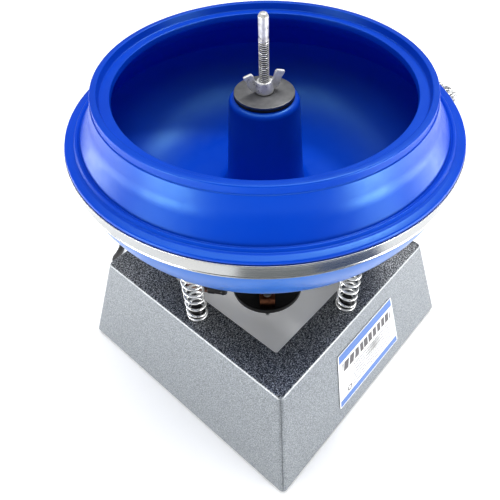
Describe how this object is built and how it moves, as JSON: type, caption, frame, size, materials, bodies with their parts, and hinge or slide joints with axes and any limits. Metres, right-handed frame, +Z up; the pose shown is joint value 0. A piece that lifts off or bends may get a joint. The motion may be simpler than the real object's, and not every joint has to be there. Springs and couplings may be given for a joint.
{
  "type": "vibratory rock tumbler",
  "caption": "Vibratory tumbler: an annular bowl held by a wing nut on a pan with a motor and off-balance flywheel, floating on coil springs over a sheet-steel base.",
  "frame": {"origin": "on the surface it stands on, under the motor shaft's axis, in the middle of the square base", "axes": "+Z up along the motor shaft and centre stud, -Y towards the label face, +X to the right seen from the label face"},
  "size_m": [0.3729, 0.3525, 0.3],
  "materials": {
    "bowl_plastic": "satin",
    "pan_enamel": "satin",
    "base_hammertone": "hammered",
    "band_stainless": "brushed",
    "spring_steel": "bright",
    "zinc_plate": "bright zinc",
    "plate_steel": "mill",
    "black_rubber": "matte",
    "black_plastic": "satin",
    "lamination_steel": "laminated",
    "copper": "dull copper",
    "bronze": "plain",
    "black_steel": "black oxide",
    "label_foil": "satin",
    "wire_brown": "satin"
  },
  "bodies": {
    "base": {"base_shell": "base_hammertone", "label_plate": "label_foil", "supply_lead": "wire_brown", "foot_back_right": "black_rubber", "foot_back_left": "black_rubber", "foot_front_left": "black_rubber", "foot_front_right": "black_rubber", "lower_stud_right": "zinc_plate", "lower_stud_back": "zinc_plate", "lower_stud_left": "zinc_plate", "lower_stud_front": "zinc_plate", "lower_nut_right": "zinc_plate", "lower_nut_back": "zinc_plate", "lower_nut_left": "zinc_plate", "lower_nut_front": "zinc_plate", "spring_right": "spring_steel", "spring_back": "spring_steel", "spring_left": "spring_steel", "spring_front": "spring_steel", "strain_relief": "black_rubber", "mains_cord": "black_rubber", "mains_cord_tail": "black_rubber", "cord_coil": "black_rubber", "cord_tie": "black_plastic", "plug_body": "black_plastic", "plug_blade_left": "bronze", "plug_blade_right": "bronze"},
    "pan": {"pan": "pan_enamel", "motor_plate": "plate_steel", "clamp_band": "band_stainless", "band_screw": "zinc_plate", "band_nut": "zinc_plate", "centre_stud": "zinc_plate", "stud_lock_nut": "zinc_plate", "motor_upper_bell": "black_plastic", "motor_stator": "lamination_steel", "motor_winding": "copper", "motor_lower_bell": "black_plastic", "upper_bearing": "bronze", "lower_bearing": "bronze", "motor_lead": "wire_brown", "wire_connector": "black_plastic", "motor_bolt_back_right": "zinc_plate", "motor_bolt_back_left": "zinc_plate", "motor_bolt_front_left": "zinc_plate", "motor_bolt_front_right": "zinc_plate", "upper_stud_right": "zinc_plate", "upper_stud_back": "zinc_plate", "upper_stud_left": "zinc_plate", "upper_stud_front": "zinc_plate"},
    "rotor": {"motor_shaft": "zinc_plate", "rotor_core": "lamination_steel", "flywheel": "black_plastic", "eccentric_weight": "copper", "weight_screw": "zinc_plate", "weight_nut": "black_steel"},
    "bowl": {"bowl": "bowl_plastic"},
    "washer": {"steel_washer": "zinc_plate", "washer_gasket": "black_rubber"},
    "wing_nut": {"wing_nut": "zinc_plate"}
  },
  "joints": [
    {"name": "pan_bounce", "type": "slide", "parent": "base", "child": "pan", "axis": [0, 0, 1], "range_m": [-0.006, 0.004], "stiffness_N_per_m": 12000, "springref_m": 0.0019, "deforming": ["spring_right", "spring_back", "spring_left", "spring_front"]},
    {"name": "rotor_spin", "type": "hinge", "parent": "pan", "child": "rotor", "pos_m": [0, 0, 0.1], "axis": [0, 0, 1], "continuous": true},
    {"name": "bowl_lift", "type": "slide", "parent": "pan", "child": "bowl", "axis": [0, 0, 1], "range_m": [0, 0.13]},
    {"name": "washer_lift", "type": "slide", "parent": "bowl", "child": "washer", "axis": [0, 0, 1], "range_m": [0, 0.04592]},
    {"name": "wing_nut_turn", "type": "hinge", "parent": "washer", "child": "wing_nut", "pos_m": [0, 0, 0.255], "axis": [0, 0, 1], "range_deg": [0, 12960]}
  ],
  "couplings": [
    {"joint": "washer_lift", "follows": "wing_nut_turn", "m_per_rad": 0.00020213}
  ]
}
